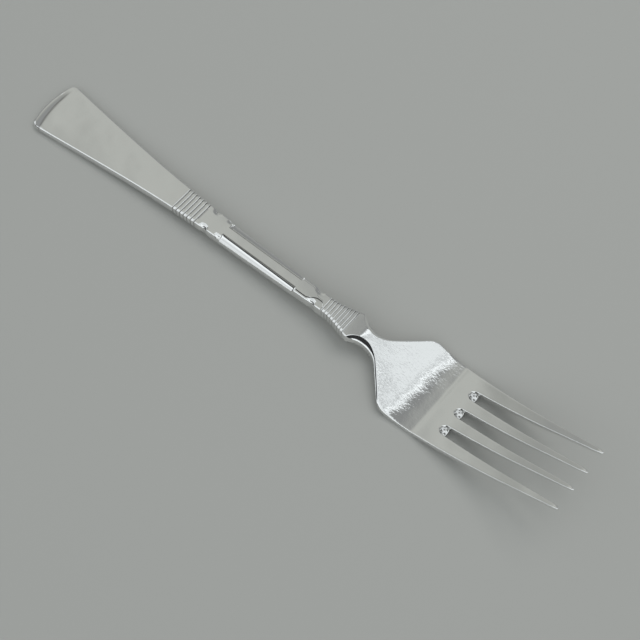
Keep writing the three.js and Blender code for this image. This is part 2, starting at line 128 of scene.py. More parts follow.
class ForkSizes(bpy.types.PropertyGroup):
    """Sizes of the fork, measured along it from the end of the handle, across it and up from the table."""

    length: size("Length", "End of the handle to the tips of the tines", 190.8)
    head_length: size("Head length", "Neck to the tips of the tines", 67.2)
    tine_length: size("Tine length", "Roots of the slots to the tips", 37.6)
    collar_taper: size("Collar taper", "Corners of the collar to the neck", 5.2)
    collar_lip: size("Collar lip", "Lower ribs to the collar's corners", 1.6)
    band_to_notch: size("Band to notch", "Lower ribs to the lower notch", 4.0)
    notch_to_flute: size("Notch to flute", "Lower notch to the flutes", 6.1)
    flute_length: size("Flute length", "Length of the edge flutes", 26.9)
    flute_to_notch: size("Flute to notch", "Flutes to the upper notch", 5.9)
    notch_to_band: size("Notch to band", "Upper notch to the upper ribs", 3.2)
    handle_end_width: size("Handle end width", "Width of the handle at its end", 18.4)
    upper_band_width: size("Upper band width", "Width where the upper ribs start", 8.3)
    stem_width: size("Stem width", "Width in the middle of the flutes", 6.2)
    stem_end_width: size("Stem end width", "Width where the lower ribs start", 5.2)
    collar_width: size("Collar width", "Width across the collar's corners", 8.9)
    neck_width: size("Neck width", "Width at the neck", 5.0)
    head_width: size("Head width", "Width across the shoulders", 25.5)
    end_bow_radius: size("End bow radius", "Radius of the handle's bowed end", 24)
    end_bow_fade: size("End bow fade", "Length over which the bow fades out", 22)
    end_corner: size("End corner", "Radius of the corners of the handle's end", 2.8)
    end_round: size("End round", "Length of the rounded rim of the handle's end", 0.9)
    end_roll: size("End roll", "Length over which the top slopes down to the end", 2.9)
    end_slant: size("End slant", "How much longer the slope is at one side", 0.8)
    end_lip: size("End lip", "Length of the flat lip along the end", 1.5)
    end_crease: size("End crease", "Softness of the crease where the end's slope starts", 0.18)
    edge_roll: size("Edge roll", "Width of the slopes along the sides near the end", 1.0)
    edge_roll_fade: size("Edge roll fade", "Length over which the sides' slopes fade out", 10)
    edge: size("Edge radius", "Radius of the softened top edges", 0.48)
    under_edge: size("Under edge radius", "Radius of the rounded edges of the underside", 0.8)
    tine_edge: size("Tine edge radius", "Radius of the softened edges of the tines", 0.24)
    tip_roll: size("Tip roll", "Length over which a tine rolls down to its tip", 1.8)
    tip_roll_drop: size("Tip roll drop", "How far a tine rolls down at its tip", 0.35)
    neck_bevel: size("Neck bevel", "Width of the bevels along the neck", 1.0)
    neck_bevel_drop: size("Neck bevel drop", "Height of the bevels along the neck", 1.26)
    neck_lip: size("Neck lip", "Width of the lip below the neck's bevels", 0.22)
    neck_reach: size("Neck reach", "Length past the neck over which its bevels fade", 14)
    handle_crown: size("Handle crown", "Rise of the handle's middle above its edges", 0.04)
    bowl_dish: size("Bowl dish", "Fall of the bowl's middle below its edges", 0.34)
    ripple: size("Ripple", "Depth of the dent across the bowl", 0.1)
    ripple_half: size("Ripple half length", "Half of the dent's length", 0.8)
    ripple_lead: size("Ripple lead", "Middle of the dent to the roots of the slots", 5.6)
    wing_lift: size("Wing lift", "Rise of the underside towards the collar's corners", 1.5)
    wing_reach: size("Wing reach", "Length over which the collar's underside rises", 9)
    upper_pitch: size("Upper rib pitch", "Spacing of the upper ribs", 1.32)
    lower_pitch: size("Lower rib pitch", "Spacing of the lower ribs", 1.05)
    rib_groove: size("Rib groove", "Depth of the grooves between ribs", 0.22)
    rib_groove_half: size("Rib groove half width", "Half of the width of a groove", 0.24)
    rib_crown: size("Rib crown", "Rise of a rib's middle above its sides", 0.02)
    rib_end: size("Rib end", "How far the grooves cut into the side edges", 0.16)
    rib_fall: size("Rib fall", "How far the ends of the ribs fall to the side edges", 0.26)
    rib_fall_reach: size("Rib fall reach", "Length over which the ends of the ribs fall", 0.85)
    notch_half: size("Notch half length", "Half of a thumbnail notch's length", 1.65)
    notch_inset: size("Notch inset", "How far a notch cuts into the outline", 0.3)
    notch_depth: size("Notch depth", "How far a notch cuts down at the edge", 1.05)
    notch_reach: size("Notch reach", "How far a notch reaches in from the edge", 1.4)
    nick_half: size("Nick half length", "Half of the length of the nick at each flute", 0.62)
    nick_lead: size("Nick lead", "Middle of the nick to the start of the flute", 0.6)
    shelf_depth: size("Shelf depth", "Drop from the ridge to the shelves", 0.24)
    shelf_step: size("Shelf step", "Width of the step from the ridge to a shelf", 0.2)
    shelf_edge: size("Shelf edge", "Half width of the ridge beside the shelves", 1.75)
    shelf_bay: size("Shelf bay", "Half width of the ridge in the shelves' bay", 0.12)
    bay_length: size("Bay length", "Start of the shelves' bay to the lower ribs", 6.4)
    bay_depth: size("Bay depth", "Start of the bay's deepest part to the lower ribs", 2.8)
    bay_turn: size("Bay turn", "End of the bay's deepest part to the lower ribs", 1.6)
    flute_depth: size("Flute depth", "Depth of the edge flutes", 1.1)
    flute_end: size("Flute end", "Length of the rounded ends of the flutes", 0.55)
    ridge_width: size("Ridge width", "Width of the plain ridge between the flutes", 2.8)
    neck_fillet: size("Neck fillet", "Radius of the hollow curve from the neck to the bowl", 7.2)
    shoulder_radius: size("Shoulder radius", "Radius of the shoulders", 4.8)
    slot_width: size("Slot width", "Width of the slots at their roots", 2.7)
    slot_ramp: size("Slot ramp", "Centre of a slot's round root to the end of its ramp at the underside", 0.7)
    chatter: size("Chatter", "Height of the tool's marks in the roots of the slots", 0.26)
    slot_spacing: size("Slot spacing", "Distance between the slots' centres", 6.33)
    slot_lead: size("Slot lead", "Last straight section to the roots of the slots", 6)
    inner_tine_span: size("Inner tine span", "Distance between the tips of the inner tines", 5.92)
    outer_tine_span: size("Outer tine span", "Distance between the tips of the outer tines", 19.06)
    tine_tip_width: size("Tine tip width", "Width of a tine where its point starts", 1.45)
    tine_point: size("Tine point", "Length of a tine's point", 4)
    tine_point_width: size("Tine point width", "Width of a tine at its very end", 0.62)
    # The next two are half widths of painted dark reflections: beside the ridge, and in the end's crease.
    ridge_line: size("Ridge line", "Half width of the dark line beside the ridge", 0.18)
    crease_line: size("Crease line", "Half width of the dark line in the end's crease", 0.3)
    shoulder_angle: angle("Shoulder angle", "Slope of the flanks between neck and shoulders", 46.5)
    upper_ribs: bpy.props.IntProperty(name="Upper ribs", description="Ribs in the upper band", default=6)
    lower_ribs: bpy.props.IntProperty(name="Lower ribs", description="Ribs in the lower band", default=8)


class SilverFinish(bpy.types.PropertyGroup):
    """Colours of the silver."""

    bright: colour("Bright silver", "Clean polished metal", (0.94, 0.94, 0.93))
    worn: colour("Handled silver", "Metal dulled by handling", (0.88, 0.88, 0.87))
    # Colour of the patina in the rib grooves, also used for the painted dark reflections along the ridge's foot, in
    # the end's crease and on the tool's marks.
    tarnish_and_painted_reflection: colour("Tarnish", "Dark residue left in the grooves", (0.16, 0.15, 0.14))


class StageLook(bpy.types.PropertyGroup):
    """Colour of the table, and place of the camera."""

    table: colour("Table", "Colour of the table top", (0.41, 0.41, 0.39))
    camera_distance: size("Camera distance", "Camera to the point it looks at", 374.39)
    camera_elevation: angle("Camera elevation", "Angle of the view above the table", 64)
    camera_heading: angle("Camera heading", "Heading of the view, turned from the fork's length", 130.183)
    camera_roll: angle("Camera roll", "Tilt of the picture", 0.282)


GROUPS = {"fork_sizes": ForkSizes, "fork_finish": SilverFinish, "fork_stage": StageLook}


def line_through(points, x):
    """Cubic through (place, value) points; each slope is the harmonic mean of the slopes beside it, so the
    line never overshoots, and beyond its ends it goes straight on."""
    place, value = np.array(points).T
    rise = np.diff(value) / np.diff(place)
    product = rise[:-1] * rise[1:]
    mean = 2 * product / np.where(product > 0, rise[:-1] + rise[1:], 1)
    slope = np.concatenate([rise[:1], np.where(product > 0, mean, 0), rise[-1:]])
    i = np.clip(np.searchsorted(place, x) - 1, 0, len(place) - 2)
    span = place[i + 1] - place[i]
    u = np.clip((x - place[i]) / span, 0, 1)
    before = np.where(x < place[0], (x - place[0]) * slope[0], 0)
    beyond = np.where(x > place[-1], (x - place[-1]) * slope[-1], 0)
    start = (1 + 2 * u) * (1 - u) ** 2 * value[i] + u * (1 - u) ** 2 * span * slope[i]
    end = u * u * (3 - 2 * u) * value[i + 1] + u * u * (u - 1) * span * slope[i + 1]
    return start + end + before + beyond


def soft_line(points, x, spread):
    """Mean of the line through the points over a bell-shaped window, so that its curvature has no jumps."""
    reach, samples = 2.4, 17
    offsets = np.linspace(-reach, reach, samples)
    weights = np.exp(-offsets ** 2 / 2)
    return line_through(points, x[..., None] + np.multiply.outer(spread, offsets)) @ (weights / weights.sum())


def bump(distance, reach):
    """One at the middle, falling smoothly to nothing at the reach: the square of one minus the square."""
    u = np.minimum(np.abs(distance) / reach, 1)
    return (1 - u * u) ** 2


def soft_ramp(x, softness):
    """Nothing below zero and the value itself above it, with the corner rounded over the softness."""
    return softness * np.logaddexp(0, x / softness)


def smooth_step(x, low, high):
    """Nothing below low, one above high, and a smooth S between them."""
    u = np.clip((x - low) / (high - low), 0, 1)
    return u * u * (3 - 2 * u)


def stations(p):
    """Places along the fork that its features start and end at, counted back from the tips and the neck.

    The functions below take the sizes as p and these places as s."""
    s = SimpleNamespace()
    s.neck = p.length - p.head_length
    s.slot_root = p.length - p.tine_length
    s.point = p.length - p.tine_point
    s.collar = s.neck - p.collar_taper
    s.lower_end = s.collar - p.collar_lip
    s.lower_start = s.lower_end - p.lower_ribs * p.lower_pitch
    s.lower_notch = s.lower_start - p.band_to_notch
    s.flute_end = s.lower_notch - p.notch_to_flute
    s.flute_start = s.flute_end - p.flute_length
    s.flute_middle = (s.flute_start + s.flute_end) / 2
    s.upper_notch = s.flute_start - p.flute_to_notch
    s.upper_end = s.upper_notch - p.notch_to_band
    s.upper_start = s.upper_end - p.upper_ribs * p.upper_pitch
    s.bands = ((s.upper_start, p.upper_pitch, p.upper_ribs), (s.lower_start, p.lower_pitch, p.lower_ribs))
    sine, cosine = math.sin(p.shoulder_angle), math.cos(p.shoulder_angle)
    s.fillet_rise = p.neck_fillet * (1 - cosine)
    s.flank_start = s.neck + p.neck_fillet * sine
    rise = (p.head_width - p.neck_width) / 2 - s.fillet_rise - p.shoulder_radius * (1 - cosine)
    s.flank_end = s.flank_start + rise / math.tan(p.shoulder_angle)
    s.shoulder = s.flank_end + p.shoulder_radius * sine
    s.slot_centre = s.slot_root + p.slot_width / 2
    s.join = s.slot_root - p.slot_lead
    return s


def notch_reach(p, s, x):
    """How far the thumbnail notches have cut in at a place along the handle."""
    return bump(x - s.upper_notch, p.notch_half) + bump(x - s.lower_notch, p.notch_half)


def thumbnail(p, inward, along):
    """Depth of a thumbnail notch: a gentle fall towards the edge that turns steep on its way, fading along the
    handle, and scaled to its full depth at the edge."""
    inside = np.clip(inward, 0, 1)
    fall = NOTCH_GENTLE * inside + NOTCH_STEEPER * np.maximum(inside - NOTCH_TURN, 0)
    return p.notch_depth * along * fall / (NOTCH_GENTLE + NOTCH_STEEPER * (1 - NOTCH_TURN))


def rib_groove(p, s, x):
    """Share of the grooves' depth: a bump at every line between two ribs and at both ends of each band."""
    total = np.zeros_like(x)
    for start, pitch, count in s.bands:
        nearest = np.clip(np.round((x - start) / pitch), 0, count)
        total += bump(x - start - nearest * pitch, p.rib_groove_half)
    return total


def rib_crown(s, x):
    """Share of the ribs' crown: the height of a half sine wave over each rib, nothing outside the bands."""
    total = np.zeros_like(x)
    for start, pitch, count in s.bands:
        way = (x - start) / pitch
        total += np.where((way > 0) & (way < count), np.abs(np.sin(np.pi * way)), 0)
    return total


def point_half_width(p, s, x):
    """Half of a tine's width near its tip, narrowing with the square of the way along the point."""
    u = np.clip((x - s.point) / p.tine_point, 0, 1)
    return (p.tine_tip_width + (p.tine_point_width - p.tine_tip_width) * u * u) / 2


def half_width(p, s, x):
    """Half of the fork's width: handle line with notches and round corners, squared taper into the neck,
    fillet, straight flank and round shoulder, then a straight line to the outer tips."""
    handle = line_through([
        (0, p.handle_end_width / 2), (s.upper_start, p.upper_band_width / 2), (s.flute_middle, p.stem_width / 2),
        (s.lower_start, p.stem_end_width / 2), (s.collar, p.collar_width / 2)], x)
    from_corner = np.clip(p.end_corner - x, 0, p.end_corner)
    corner = p.end_corner - np.sqrt(p.end_corner ** 2 - from_corner ** 2)
    handle = handle - p.notch_inset * notch_reach(p, s, x) - corner - p.rib_end * rib_groove(p, s, x)
    taper = p.neck_width / 2 + (p.collar_width - p.neck_width) / 2 * ((s.neck - x) / p.collar_taper) ** 2
    fillet = p.neck_width / 2 + p.neck_fillet - np.sqrt(np.maximum(p.neck_fillet ** 2 - (x - s.neck) ** 2, 0))
    flank = p.neck_width / 2 + s.fillet_rise + (x - s.flank_start) * math.tan(p.shoulder_angle)
    round_off = np.sqrt(np.maximum(p.shoulder_radius ** 2 - (s.shoulder - x) ** 2, 0))
    shoulder = p.head_width / 2 - p.shoulder_radius + round_off
    u = np.clip((x - s.shoulder) / (s.point - s.shoulder), 0, 1)
    head = p.head_width / 2 * (1 - u) + (p.outer_tine_span / 2 + point_half_width(p, s, x)) * u
    return np.select(
        [x > s.shoulder, x > s.flank_end, x > s.flank_start, x > s.neck, x > s.collar],
        [head, shoulder, flank, fillet, taper], handle)


def top_line(p, s, x):
    """Height of the top on the centre line, before any cut: a soft line through heights along the fork."""
    crisp = bump(x - s.neck + p.collar_taper / 2, p.collar_taper)
    return soft_line(np.array(HEIGHTS) / 1000, x, TOP_SPREAD - TOP_CRISPER * crisp)


def thickness(x):
    """Thickness of the metal on the centre line: a soft line through values along the fork."""
    return soft_line(np.array(THICKNESSES) / 1000, x, THICKNESS_SPREAD)


def flute_reach(p, s, x):
    """How far the edge flutes have cut in: a quarter circle at each end, full depth between."""
    u = np.clip(np.minimum(x - s.flute_start, s.flute_end - x) / p.flute_end, 0, 1)
    return np.sqrt(u * (2 - u))


def shelf_length(p, s, x):
    """One along the shelves, nothing before the ends of the flutes and past the start of the lower ribs."""
    start = smooth_step(x, s.flute_end, s.flute_end + p.shelf_step)
    return start * (1 - smooth_step(x, s.lower_start - 2 * p.rib_groove_half, s.lower_start - p.rib_groove_half))


def ridge_half(p, s, x):
    """Half width of the plain ridge: even between the flutes, wider beside the shelves, and narrow in the bay
    that they reach into, slowly on one side and steeply on the other, before the lower ribs."""
    bay = smooth_step(x, s.lower_start - p.bay_length, s.lower_start - p.bay_depth)
    bay = bay * (1 - smooth_step(x, s.lower_start - p.bay_turn, s.lower_start))
    beside = p.shelf_edge + (p.shelf_bay - p.shelf_edge) * bay
    return p.ridge_width / 2 + (beside - p.ridge_width / 2) * shelf_length(p, s, x)


def worn_end(p, y, half):
    """The worn slope of the handle's end: where its crease lies, and how much of it is left towards one corner."""
    side = y / half
    return p.end_roll - p.end_slant * side, 1 - smooth_step(side, WORN_FULL, WORN_GONE)


def end_wear(p, x, y, half):
    """Fall of the handle's end: the worn slope from its crease, levelled by the lip, and soft slopes at the sides."""
    crease, left = worn_end(p, y, half)
    slope = END_SLOPE * soft_ramp(crease - x, p.end_crease) - LIP_SLOPE * soft_ramp(p.end_lip - x, p.end_crease)
    near_end = 1 - smooth_step(x, 0, p.edge_roll_fade)
    return slope * left + SIDE_SLOPE * soft_ramp(p.edge_roll - half + np.abs(y), p.end_crease) * near_end


def rib_cuts(p, s, x, across, half):
    """Depth of the rib bands: grooves that deepen towards the sides, less the ribs' crowns, and their falling ends."""
    crown = rib_crown(s, x)
    grooves = p.rib_groove * rib_groove(p, s, x) * (1 + (across / half) ** GROOVE_POWER)
    ends = np.clip(1 - (half - across) / p.rib_fall_reach, 0, 1) ** RIB_END_POWER
    return grooves - p.rib_crown * crown + p.rib_fall * crown * ends


def ridge_cuts(p, s, x, across, half):
    """Depth beside the ridge: the hollow flutes, from the ridge to the side, and the step down to the shelves."""
    narrowest = 1e-5
    flute = np.clip((across - p.ridge_width / 2) / np.maximum(half - p.ridge_width / 2, narrowest), 0, 1)
    step = np.clip((across - ridge_half(p, s, x)) / p.shelf_step, 0, 1)
    hollow = p.flute_depth * flute_reach(p, s, x) * (flute * (2 - flute)) ** FLUTE_POWER
    return hollow + p.shelf_depth * shelf_length(p, s, x) * step


def top_surface(p, s, x, y, half):
    """Height of the top: the centre line less the handle's crown or the bowl's dish, and less every cut: ribs, flutes,
    shelves, notches with a nick before each flute, worn end, rolled tips, and a bell-shaped dent across the bowl."""
    across = np.abs(y)
    dish = smooth_step(x, s.neck, s.shoulder)
    crown = (p.handle_crown * (1 - dish) - p.bowl_dish * dish) * (across / half) ** CROWN_POWER
    nick = NICK_DEEPER * bump(x - s.flute_start + p.nick_lead, p.nick_half)
    notches = thumbnail(p, 1 - (half - across) / p.notch_reach, notch_reach(p, s, x) + nick)
    tips = p.tip_roll_drop * np.maximum(1 - (p.length - x) / p.tip_roll, 0) ** 2
    dent = p.ripple * np.exp(-((x - s.slot_root + p.ripple_lead) / p.ripple_half) ** 2)
    cuts = rib_cuts(p, s, x, across, half) + ridge_cuts(p, s, x, across, half) + notches
    return top_line(p, s, x) - crown - cuts - end_wear(p, x, y, half) - tips - dent


def under_surface(p, s, x, y, half):
    """Height of the underside: the top's centre line less the thickness, lifted under the collar's corners."""
    lift = p.wing_lift * bump(x - s.collar, p.wing_reach) * (y / half) ** 2
    return np.maximum(top_line(p, s, x) - thickness(x), 0) + lift


def neck_share(p, s, x):
    """The neck's bevel: its shares in the edge, across and down, which are one at the neck and nothing at the
    collar's corners and past the flanks, and its scale, across and down, which is less along the flanks."""
    back = np.clip((s.neck - x) / p.collar_taper, 0, 1)
    on = np.clip((x - s.neck) / p.neck_reach, 0, 1)
    ahead = 1 - on ** BEVEL_WIDTH_POWER
    along_flank = smooth_step(on, 0, FLANK_SETTLES)
    narrow = 1 - FLANK_NARROWER * along_flank
    low = narrow * (1 - FLANK_FLATTER * along_flank)
    return (1 - back ** BEVEL_WIDTH_POWER) * ahead, (1 - back ** BEVEL_HEIGHT_POWER) * ahead, narrow, low


def edge_radius(p, s, x, handle_edge):
    """Radius of the softened edges, smaller on the tines than on the handle."""
    return handle_edge + (p.tine_edge - handle_edge) * smooth_step(x, s.neck, s.join)


def edge_strip(outer, top_z, top_radius, under_z, under_radius):
    """A softened edge swept along rows: quarter rounds at the top and the underside with a wall between, each point
    given by how far out and how far round it lies, and by the top's share in it."""
    turn = np.linspace(0, math.pi / 2, EDGE_TURNS)[1:]
    wall = np.linspace(1, 0, WALL_STEPS + 1)[1:-1]
    level = np.ones(len(wall))
    out = np.concatenate([np.sin(turn), level, np.sin(turn[::-1])])
    fall = np.concatenate([1 - np.cos(turn), level, 1 - np.cos(turn[::-1])])
    top = np.concatenate([np.ones(len(turn)), wall, np.zeros(len(turn))])
    outer, tz, tr, uz, ur = (np.asarray(a)[..., None] for a in (outer, top_z, top_radius, under_z, under_radius))
    y = outer - (top * tr + (1 - top) * ur) * (1 - out)
    z = top * (tz - tr * fall) + (1 - top) * (uz + ur * fall)
    return y, z


def neck_bevel(p):
    """The neck's edge from its top to the wall: a steep bevel and a narrow lip, as ways in from the wall and down.

    It has as many points as a softened edge has above its wall."""
    along = np.array([0.03, 0.08, 0.3, 0.6, 0.92, 1.0, 1.0, 1.0])
    down = np.array([0.015, 0.07, 0.3, 0.6, 0.92, 1.0, 1.05, 1.16])
    lip = np.array([0, 0, 0, 0, 0, 0.3, 0.85, 1.0])
    wide = p.neck_bevel + p.neck_lip
    return wide - p.neck_bevel * along - p.neck_lip * lip, p.neck_bevel_drop * down


def top_inset(p, s, x, radius):
    """How far inside the outline the top ends: at the edge's radius, or above the bevel and the lip of the neck."""
    neck, _, narrow, _ = neck_share(p, s, x)
    return radius * (1 - neck) + (p.neck_bevel + p.neck_lip) * narrow * neck


def side_edge(p, s, place, half, top_z, top_radius, under_z, under_radius):
    """One side of the fork from top to underside: the softened edge, mixed with the bevel and the lip at the neck."""
    y, z = edge_strip(half, top_z, top_radius, under_z, under_radius)
    in_bevel, bevel_fall = neck_bevel(p)
    bevel = np.s_[:, :len(in_bevel)]
    wide, tall, narrow, low = (part[:, None] for part in neck_share(p, s, place))
    y[bevel] = y[bevel] * (1 - wide) + (half[:, None] - narrow * in_bevel) * wide
    z[bevel] = z[bevel] * (1 - tall) + (top_z[:, None] - low * bevel_fall) * tall
    return y, z


def steps(start, stop, count):
    """Evenly spaced places after start, up to stop."""
    return start + (stop - start) * np.arange(1, count + 1) / count


def rib_rows(p, start, pitch, count, on_rib):
    """Places of the cross-sections in a band: through the groove at every line, and at shares over each rib."""
    lines = start + np.arange(count + 1)[:, None] * pitch
    in_groove = lines + p.rib_groove_half * np.array([-1, -0.7, -0.42, -0.15, 0.15, 0.42, 0.7, 1])
    over_ribs = lines[:-1] + pitch * np.array(on_rib)
    return np.sort(np.concatenate([in_groove.ravel(), over_ribs.ravel()]))


def runs(start, *parts):
    """Places along parts that follow each other, each given by its end and its number of steps."""
    starts = [start] + [stop for stop, _ in parts]
    return np.concatenate([steps(first, *part) for first, part in zip(starts, parts)])


def row_places(p, s):
    """Places of the cross-sections from the end of the handle to the bowl, close where the form changes fast."""
    n, f, g = p.notch_half, p.flute_end, p.rib_groove_half
    return np.concatenate([
        p.end_corner * (1 - np.cos(np.linspace(0, math.pi / 2, 22))),
        runs(p.end_corner, (3 * p.end_corner, 14), (s.upper_start - 2 * g, 24)),
        rib_rows(p, *s.bands[0], (0.4, 0.6)),
        runs(s.upper_end + g, (s.upper_notch - n, 3), (s.upper_notch + n, 20), (s.flute_start, 6),
             (s.flute_start + f, 10), (s.flute_end - f, 18), (s.flute_end, 10), (s.flute_end + p.shelf_step, 3),
             (s.lower_notch - n, 10), (s.lower_notch + n, 20), (s.lower_start - 2 * g, 12)),
        rib_rows(p, *s.bands[1], (0.5,)),
        runs(s.lower_end + g, (s.collar, 4), (s.neck, 26), (s.flank_start, 16), (s.flank_end, 10),
             (s.shoulder, 14), (s.join, 12))])


def tine_edges(p, s, x):
    """Lower and upper edges of each tine: straight from the slot's side to the point, then the point's flanks."""
    tips = np.array([-p.outer_tine_span, -p.inner_tine_span, p.inner_tine_span, p.outer_tine_span]) / 2
    slots = np.array([-1, 0, 1]) * p.slot_spacing
    half = half_width(p, s, x)
    u = np.clip((x - s.slot_centre) / (s.point - s.slot_centre), 0, 1)
    near_tip = point_half_width(p, s, x)
    upper_of_slot = slots[:, None] + p.slot_width / 2
    lower_of_slot = slots[:, None] - p.slot_width / 2
    low = upper_of_slot * (1 - u) + (tips[1:, None] - near_tip) * u
    high = lower_of_slot * (1 - u) + (tips[:-1, None] + near_tip) * u
    return np.vstack([-half[None], low]), np.vstack([high, half[None]])


def root_columns(p, s):
    """Where the columns of the bowl end: straight across each tine, and round the root of each slot."""
    x = np.array([s.slot_centre])
    low, high = tine_edges(p, s, x)
    radius = p.slot_width / 2 + p.tine_edge
    turn = np.linspace(0, math.pi, SLOT_COLUMNS + 2)[1:-1]
    over_tine = np.linspace(0, 1, TINE_COLUMNS)
    xs, ys, under = [], [], []
    for tine in range(TINES):
        first, last = low[tine, 0] + p.tine_edge, high[tine, 0] - p.tine_edge
        xs.append(np.full(TINE_COLUMNS, s.slot_centre))
        ys.append(first + (last - first) * over_tine)
        under.append(xs[-1])
        if tine < TINES - 1:
            xs.append(s.slot_centre - radius * np.sin(turn))
            ys.append((tine - 1) * p.slot_spacing - radius * np.cos(turn))
            under.append(s.slot_centre + p.slot_ramp * np.sin(turn))
    return np.concatenate(xs), np.concatenate(ys), np.concatenate(under)


def loop(under, far, top, near):
    """Values round closed sections: across the underside, up the far edge, back over the top, down the near edge."""
    return np.hstack([under, far[:, ::-1], top[:, ::-1], near])


def column_shares(p, s, place, inner, head):
    """Where the columns lie across the top, as shares of its half width.

    On the handle they lie evenly over the ridge, over the step beside it and over the rest. Towards the bowl they
    change over to the columns of the head."""
    spread = np.linspace(-1, 1, len(head))
    away = np.abs(spread)
    last = len(head) // 2
    at_ridge, at_foot = round(RIDGE_COLUMNS * last) / last, round(FOOT_COLUMNS * last) / last
    ridge = np.minimum(ridge_half(p, s, place) / inner, RIDGE_MOST)[:, None]
    foot = np.minimum(ridge + p.shelf_step / inner[:, None], FOOT_MOST)
    on_ridge = ridge * away / at_ridge
    on_step = ridge + (foot - ridge) * (away - at_ridge) / (at_foot - at_ridge)
    outside = foot + (1 - foot) * (away - at_foot) / (1 - at_foot)
    handle = np.select([away < at_ridge, away < at_foot], [on_ridge, on_step], outside) * np.sign(spread)
    to_head = smooth_step(place, s.neck, s.join)[:, None]
    return handle * (1 - to_head) + head * to_head


def blank_surface(p, s):
    """Closed cross-sections carried along the fork from the end of the handle to the roots of the slots.

    Near the end of the handle the loops bend with the bowed end and flatten to a rim. Past the join in the bowl
    the columns bend on to the round roots of the slots, by mixing the straight row with the row of the roots."""
    root_x, root_y, under_x = root_columns(p, s)
    rows = row_places(p, s)
    blend = steps(0, 1, BEND_ROWS)
    head = root_y / root_y[-1]
    place = np.concatenate([rows, s.join + (s.slot_centre - s.join) * blend])
    half = half_width(p, s, place)
    end = np.clip(place / p.end_round, 0, 1)
    rim = np.sqrt(end * (2 - end))
    full_edge = p.edge + (p.under_edge - p.edge) * smooth_step(place, 0, p.end_roll)
    under_radius = edge_radius(p, s, place, full_edge) * rim
    top_radius = edge_radius(p, s, place, p.edge) * rim * (1 - FLUTE_EDGE_SMALLER * flute_reach(p, s, place))
    inner = half - top_inset(p, s, place, top_radius)
    across = column_shares(p, s, place, inner, head)
    top_y = inner[:, None] * across
    under_y = (half - under_radius)[:, None] * across
    top_x = np.repeat(place[:, None], len(head), axis=1)
    low_x = top_x.copy()
    bent = slice(len(rows), None)
    mix = blend[:, None]
    top_x[bent] = s.join * (1 - mix) + root_x * mix
    low_x[bent] = s.join * (1 - mix) + under_x * mix
    top_y[bent] = inner[len(rows) - 1] * head * (1 - mix) + root_y * mix
    top_y[bent, 0], top_y[bent, -1] = -inner[bent], inner[bent]
    under_y[bent] = top_y[bent]
    top_z = top_surface(p, s, top_x, top_y, half_width(p, s, top_x))
    under_z = under_surface(p, s, low_x, under_y, half_width(p, s, low_x))
    middle = (top_z + under_z) / 2
    top_z = middle + (top_z - middle) * rim[:, None]
    under_z = middle + (under_z - middle) * rim[:, None]
    far_y, far_z = side_edge(p, s, place, half, top_z[:, -1], top_radius, under_z[:, -1], under_radius)
    near_y, near_z = side_edge(p, s, place, half, top_z[:, 0], top_radius, under_z[:, 0], under_radius)
    y = loop(under_y, far_y, top_y, -near_y)
    z = loop(under_z, far_z, top_z, near_z)
    side_x = np.repeat(place[:, None], far_y.shape[1], axis=1)
    x = loop(low_x, side_x, top_x, side_x)
    dark = patina_and_painted_reflection(p, s, x, y)
    bow = np.maximum(1 - x / p.end_bow_fade, 0) ** 2
    x = x + y * y / (2 * p.end_bow_radius) * bow
    return np.stack([x, y, z], axis=-1), dark


def patina_and_painted_reflection(p, s, x, y):
    """Share of dark colour: patina deep in the rib grooves, and painted dark reflections as bell-shaped lines along
    the foot of the ridge beside the flutes and in the crease of the handle's end."""
    deep = np.clip(rib_groove(p, s, x) * (1 + GROOVE_CLEAN) - GROOVE_CLEAN, 0, 1)
    ribs = deep * np.where(x < s.flute_middle, UPPER_RESIDUE, LOWER_RESIDUE)
    # Painted dark reflection: a line along the foot of the ridge beside the flutes.
    beside = np.exp(-((np.abs(y) - p.ridge_width / 2) / p.ridge_line) ** 2) * (flute_reach(p, s, x) > FLUTE_BEGUN)
    # Painted dark reflection: a line in the crease of the handle's end.
    fold, left = worn_end(p, y, half_width(p, s, x))
    end = np.exp(-((x - fold) / p.crease_line) ** 2) * left
    return np.clip(ribs + RIDGE_PAINTED_REFLECTION * beside + CREASE_PAINTED_REFLECTION * end, 0, 1)


def tine_surface(p, s, tine):
    """Closed loops carried along one tine from the slots' roots, ending in a rounded tip that shrinks to a point."""
    tip = p.tine_point_width / 2
    stop = p.length - tip
    x = np.concatenate([[s.slot_centre], runs(s.slot_centre, (s.point, TINE_ROWS), (stop, POINT_ROWS))])
    low, high = (edges[tine] for edges in tine_edges(p, s, x))
    half = half_width(p, s, x)
    thick = thickness(x)
    centre_z = top_line(p, s, x) - thick / 2
    radius = np.minimum(p.tine_edge, TINE_EDGE_MOST * np.minimum(thick, high - low))
    first, last = low + radius, high - radius
    y = first[:, None] + (last - first)[:, None] * np.linspace(0, 1, TINE_COLUMNS)
    grid_x = np.repeat(x[:, None], TINE_COLUMNS, axis=1)
    top = top_surface(p, s, grid_x, y, half[:, None])
    under = under_surface(p, s, grid_x, y, half[:, None])
    up_y, up_z = edge_strip(high, top[:, -1], radius, under[:, -1], radius)
    down_y, down_z = edge_strip(-low, top[:, 0], radius, under[:, 0], radius)
    loop_y = loop(y, up_y, y, -down_y)
    loop_z = loop(under, up_z, top, down_z)
    loop_x = np.repeat(x[:, None], loop_y.shape[1], axis=1)
    turn = steps(0, math.pi / 2, TIP_ROWS)[:, None]
    middle_y = (low[-1] + high[-1]) / 2
    tip_y = middle_y + (loop_y[-1] - middle_y) * np.cos(turn)
    tip_z = centre_z[-1] + (loop_z[-1] - centre_z[-1]) * np.cos(turn) + tip * np.sin(turn) * TIP_LIFT
    tip_x = np.repeat(stop + tip * np.sin(turn), loop_y.shape[1], axis=1)
    grid = np.stack([np.vstack([loop_x, tip_x]), np.vstack([loop_y, tip_y]), np.vstack([loop_z, tip_z])], axis=-1)
    return grid, np.zeros(grid.shape[:2])


